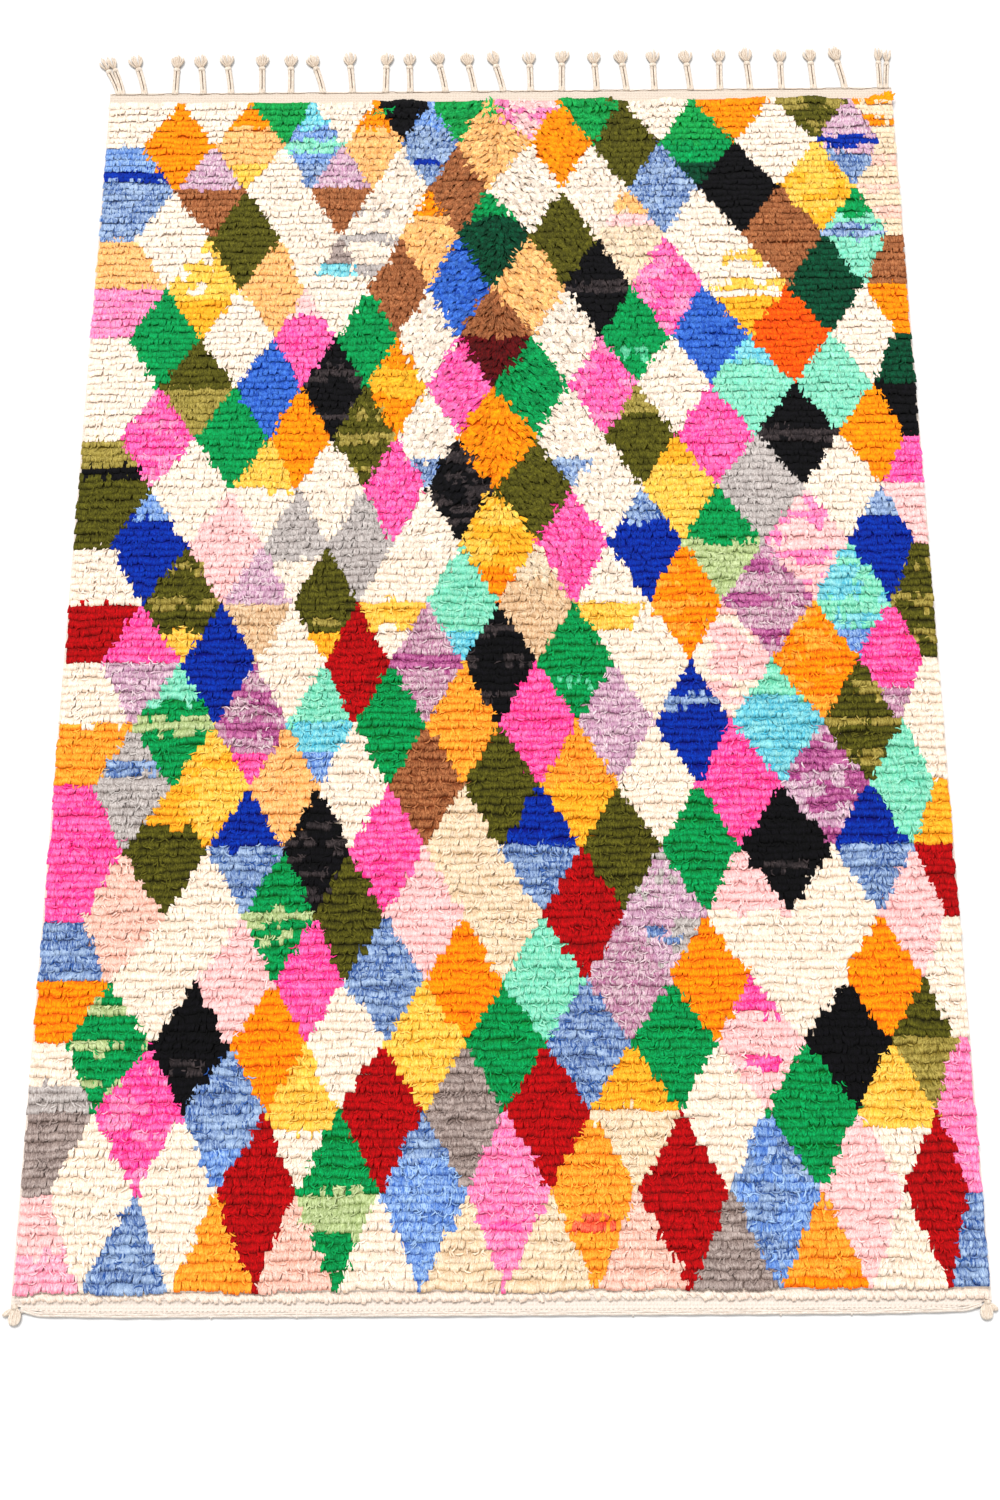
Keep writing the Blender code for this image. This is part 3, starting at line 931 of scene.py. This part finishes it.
PLAIT_PITCH = 2.2  # points of a ply from one crossing to the next


def braid_middle(braid, along):
    """X and Y of a braid's middle line, where along is 0 at the band and 1 at the tip."""
    x = (braid.root + braid.lean * along ** 1.3) * MM
    y = FAR_EDGE + (braid.length * along - 1) * MM
    return x, y


def braid_plies(braid, x, y, lean, along, rng):
    """Two plies, thicker where they cross, with a dark thread in the seam between them that also stands in
    for the shadow in the gap, darkened in dashes by painted shade.
    """
    ply = braid.neck * 0.235 * MM
    plait = np.abs(np.sin(np.arange(PLY_POINTS) * math.pi / PLAIT_PITCH))
    swell = ply * (0.98 + 0.10 * plait) * np.interp(along, [0, 0.10], [1.3, 1.0])
    high = 3.1 * MM * (0.95 + 0.08 * plait)
    plies = [
        tube(path_of(x + side * ply, y - side * ply * lean, 3.6 * MM), swell, high, 8, "braid",
             rng.uniform(0, 1))
        for side in (-1, 1)
    ]
    # painted shade in dashes on the dark seam thread, which partly stands in for the shadow between the
    # plies
    dash = (np.arange(PLY_POINTS) % 3 == 0) * -0.2 + 0.5
    seam = path_of(x, y, 5.6 * MM)
    return plies + [tube(seam[4:-1], 0.7 * MM, 0.6 * MM, 4, "seam", shade=dash[4:-1])]


def braid_petals(braid, foot, slope, rng):
    """The tuft: rounded petal-like yarn ends that bow outwards and close again."""
    petals = 6 if braid.wide > 20 else 4
    tuft = braid.length * (1 - NECK_AT - 0.08) * MM
    half = braid.wide * (0.5 - 0.45 / petals) * MM
    t = np.linspace(0, 1, 8)
    swell = np.interp(t, [0, 0.3, 0.7, 0.9, 1], [0.50, 0.85, 1.15, 1.0, 0.5])
    fat = braid.wide / petals * 0.50 * MM * swell
    # painted shade, deepest at the tuft's base where the petals gather
    tone = np.interp(t, [0, 0.35, 1], [0.35, 0.10, 0.0])
    shapes = []
    for k, turn in enumerate(np.linspace(-1, 1, petals)):
        reach = tuft * (1.14 - 0.22 * turn * turn) * rng.uniform(0.90, 1.06)
        bow = turn * half * np.sin(math.pi * (0.04 + 0.56 * t)) + rng.normal(0, 1.2) * MM * t
        height = np.interp(t, [0, 0.4, 1], [4.0, 4.4, 3.2]) * MM + (k % 2) * 1.1 * MM
        path = path_of(foot[0] + bow + slope * reach * t, foot[1] + reach * t - slope * bow, height)
        shapes.append(tube(path, fat, fat * 1.15, 6, "braid", rng.uniform(0, 1), shade=tone))
    return shapes


def braid_shapes(braid, rng):
    """A knot at the band, two plies, a wrapped neck and a tuft."""
    along = np.linspace(-0.03, NECK_AT + 0.02, PLY_POINTS)
    x, y = braid_middle(braid, np.clip(along, 0, 1))
    y = y + np.minimum(along, 0) * braid.length * MM
    lean = np.gradient(x, y)
    shapes = braid_plies(braid, x, y, lean, along, rng)
    knot = path_of(x[0] + mm(-6, 0, 6), y[0] + mm(0, 1, 0), mm(3.4, 4.4, 3.4))
    shapes.append(tube(knot, mm(0.8, 2.6, 0.8), mm(0.8, 2.2, 0.8), 8, "braid"))
    neck_x, neck_y = braid_middle(braid, np.array([NECK_AT, NECK_AT + 0.045, NECK_AT + 0.09]))
    neck = path_of(neck_x, neck_y, 4.2 * MM)
    size = braid.neck * MM * np.array([0.50, 0.56, 0.46])
    shapes.append(tube(neck, size, mm(3.4, 4.1, 3.4), 10, "braid", rng.uniform(0, 1)))
    return shapes + braid_petals(braid, (neck_x[-1], neck_y[-1]), lean[-1], rng)


def make_strip(weave):
    """The narrow strip of cloth that the braids come out of."""
    x = np.linspace(-HALF_RUG, HALF_RUG, 240)
    y = FAR_EDGE - STRIP_DEPTH / 2 + (patches(x, x * 0, 40 * MM, 61) - 0.5) * 1.2 * MM
    strip = tube(path_of(x, y, 2.2 * MM), STRIP_DEPTH * 0.56, 2.1 * MM, 8, "far_band")
    return build("fringe_strip", strip, weave)


def make_band_thread(material):
    """A fine dark thread that wavers along the far band's edge."""
    x = np.linspace(-HALF_RUG + 4 * MM, HALF_RUG - 4 * MM, 700)
    wave = (patches(x, x * 0, 14 * MM, 63) - 0.5) * 4.5 * MM
    tone = 0.55 * (patches(x, x * 0, 9 * MM, 65) - 0.35)
    path = path_of(x, FAR_EDGE - 3.5 * MM + wave, 4.1 * MM)
    thread = tube(path, 0.55 * MM, 0.5 * MM, 4, "seam", shade=np.clip(tone, 0, 1))
    return build("band_thread", thread, material)


def make_fringe(material, weave):
    """All braids, the strip that holds them and the thread beside it."""
    rng = default_rng(51)
    shapes = [shape for braid in BRAIDS for shape in braid_shapes(braid, rng)]
    braids = build("fringe_braids", join(shapes), material)
    return [braids, make_strip(weave), make_band_thread(material)]


CORD_POINTS = 480
CORD_LAY = 58 * MM  # length of one full turn of the two plies
CORD_SWELL = 5.2 * MM  # and of one swell along a ply
STUBS = [-0.785, -0.475, -0.335, 0.215, 0.457, 0.573]
STITCH_REACH = 0.76
STITCH_PITCH = 8.4 * MM
STITCH_LENGTH = 4.6 * MM


def cord_path():
    """Middle line of the heading cord, with the band's bends rounded."""
    reach = HALF_PILE - 13 * MM
    x = np.linspace(-reach, reach, CORD_POINTS)
    rounding = np.ones(9) / 9
    y = np.convolve(np.pad(near_edge(x), 4, mode="edge"), rounding, mode="valid")
    return x, y - GAP - CORD_ACROSS / 2


def cord_plies(x, y, rng):
    """Two plies that twine slowly around each other."""
    turn = x / CORD_LAY * 2 * math.pi
    shapes = []
    for side in (-1, 1):
        swing = side * (1.75 + 0.25 * np.sin(turn)) * MM
        height = 3.7 * MM + side * 0.5 * MM * np.cos(turn)
        swell = 1 + 0.07 * np.sin(x / CORD_SWELL * 2 * math.pi + side)
        path = path_of(x, y + swing, height)
        shapes.append(tube(path, 2.15 * MM * swell, 3.2 * MM * swell, 8, "cord", rng.uniform(0, 1)))
    return shapes


def cord_stub(place, x, y):
    """A small knot that sticks out of the cord."""
    foot = np.interp(place, x, y) - CORD_ACROSS / 2
    path = path_of(place, foot + mm(5, 1, -2), mm(4, 4, 3))
    return tube(path, mm(1.2, 2.6, 1.2), mm(1.5, 2.6, 1.4), 6, "cord")


def cord_stitch(place, x, y):
    """A short raised stitch on the band beside the cord."""
    foot = np.interp(place, x, y) + CORD_ACROSS / 2 + 3.2 * MM
    t = np.array([0, 0.3, 0.7, 1])
    stray = 0.3 * MM * math.sin(place * 900)
    path = path_of(place + t * STITCH_LENGTH, foot + stray, (3.6 + 0.9 * np.sin(math.pi * t)) * MM)
    return tube(path, mm(0.3, 0.9, 0.9, 0.3), mm(0.3, 0.7, 0.7, 0.3), 4, "cord")


def make_cord(material):
    """The heading cord with its stub knots, and the row of stitches beside it."""
    rng = default_rng(71)
    x, y = cord_path()
    shapes = cord_plies(x, y, rng) + [cord_stub(place, x, y) for place in STUBS]
    stitches = [cord_stitch(place, x, y) for place in np.arange(-STITCH_REACH, STITCH_REACH, STITCH_PITCH)]
    cord = build("cord", join(shapes), material)
    return [cord, build("stitches", join(stitches), material)]


# Looped yarns of the corner tassels, in mm
Loop = namedtuple("Loop", "root lean length wide strands")
LEFT_LOOPS = [Loop(-4.5, -12, 12, 10, 3), Loop(3, -3, 27, 21, 6)]
RIGHT_LOOPS = [Loop(-3.0, 0, 26, 21, 6), Loop(5.5, 7, 12, 10, 3)]


def loop_shapes(loop, middle_x, top_y, rng):
    """Plump yarns side by side that bow outwards and meet at their tips."""
    t = np.linspace(0, 1, 10)
    fat = loop.wide / loop.strands * 0.62 * MM * np.interp(t, [0, 0.3, 0.85, 1], [0.6, 1, 1.1, 0.6])
    shapes = []
    for k, turn in enumerate(np.linspace(-1, 1, loop.strands)):
        bow = turn * loop.wide * 0.40 * MM * np.sin(math.pi * (0.04 + 0.82 * t)) ** 0.7
        x = middle_x + loop.root * MM + loop.lean * t * MM + bow
        y = top_y - 5 * MM - loop.length * MM * t * (1 - 0.06 * turn * turn)
        z = (4.0 + (k % 2) * 1.1 + 0.8 * np.sin(math.pi * t)) * MM
        shapes.append(tube(path_of(x, y, z), fat, fat * 0.9, 6, "braid", rng.uniform(0, 1)))
    return shapes


def make_tassel(name, side, loops, material):
    """A knotted head and its looped yarns, at the near corner on one side."""
    rng = default_rng(81 + side)
    middle_x = side * (HALF_PILE - 3 * MM)
    top_y = CORNER_EDGE - GAP
    head = path_of(middle_x, top_y + mm(2, -3, -6.5), mm(4.2, 4.8, 4.4))
    shapes = [tube(head, mm(3.5, 6.4, 3.5), mm(2.6, 4.6, 2.8), 10, "braid")]
    for loop in loops:
        shapes += loop_shapes(loop, middle_x, top_y, rng)
    return build(name, join(shapes), material)


FLOOR_REACH = 8.0
FLOOR_LEVEL = -0.3 * MM  # just clear of the rug's underside


def make_floor():
    """A plain pale floor."""
    mesh = bpy.data.meshes.new("floor")
    corners = [(-1, -1), (1, -1), (1, 1), (-1, 1)]
    points = [(x * FLOOR_REACH, y * FLOOR_REACH, FLOOR_LEVEL) for x, y in corners]
    mesh.from_pydata(points, [], [(0, 1, 2, 3)])
    floor = add_object("floor", mesh)
    material = bpy.data.materials.new("floor_paint")
    material.use_nodes = True
    tree = material.node_tree
    fill(tree, tree.nodes["Principled BSDF"], {"Base Color": (0.69, 0.69, 0.69, 1), "Roughness": 0.9})
    mesh.materials.append(material)


def make_light():
    """Even white surroundings with one soft high light from beyond the fringe, a little from the left."""
    world = bpy.data.worlds.new("studio")
    world.use_nodes = True
    tree = world.node_tree
    fill(tree, tree.nodes["Background"], {"Color": (1, 1, 1, 1), "Strength": 0.86})
    bpy.context.scene.world = world
    lamp = bpy.data.lights.new("key", "SUN")
    lamp.energy = 2.8
    lamp.angle = math.radians(25)
    add_object("key", lamp).rotation_euler = (math.radians(-26), math.radians(-10), 0)


PICTURE_HEIGHT = 1500  # pixels
FOCUS_PIXELS = 2200  # focal length in the same pixels
VIEW_TILT = math.radians(67.78)
VIEW_DISTANCE = 3.9804
AIM_X = -0.0023  # where the camera looks, from the middle of the pile's near edge
AIM_Y = 0.9597


def make_camera():
    """The camera stands off the near end and looks down at the rug."""
    aim = origin() + [AIM_X, AIM_Y, 0]
    lens = bpy.data.cameras.new("camera")
    lens.sensor_width = 36
    lens.lens = lens.sensor_width * FOCUS_PIXELS / PICTURE_HEIGHT
    camera = add_object("camera", lens)
    back = VIEW_DISTANCE * math.cos(VIEW_TILT)
    camera.location = (aim[0], aim[1] - back, VIEW_DISTANCE * math.sin(VIEW_TILT))
    camera.rotation_euler = (math.pi / 2 - VIEW_TILT, 0, 0)
    bpy.context.scene.camera = camera


def write_sizes():
    """Brings the view layer up to date; no sizes are written."""
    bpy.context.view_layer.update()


def main():
    """Stage, rug and trim."""
    bpy.context.scene.view_settings.view_transform = "Standard"
    make_camera()
    make_light()
    make_floor()
    wool = yarn_material("pile_yarn", 300, 0.45, 0.6)
    cotton = yarn_material("cotton_yarn", 420, 0.5, 0.4)
    weave = yarn_material("band_weave", 700, 0.4, 0.0, 330)
    pile_back = yarn_material("knot_backs", 500, 0.3, 0.0, 230)
    cloth = make_cloth(pile_back, weave)
    pile = make_pile(wool) + [
        make_loose_strands("loose_near", wool, LOOSE_START, LOOSE_SPLIT, 31),
        make_loose_strands("loose_far", wool, LOOSE_SPLIT, LOOSE_END, 32),
        make_strays(wool),
        make_roll(cotton),
    ]
    fringe = make_fringe(cotton, weave)
    cord = make_cord(cotton)
    left = make_tassel("corner_tassel_left", -1, LEFT_LOOPS, cotton)
    right = make_tassel("corner_tassel_right", 1, RIGHT_LOOPS, cotton)
    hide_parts("rug")
    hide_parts("fringe")
    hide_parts("heading_cord")
    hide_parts("tassel_left")
    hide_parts("tassel_right")
    write_sizes()


main()
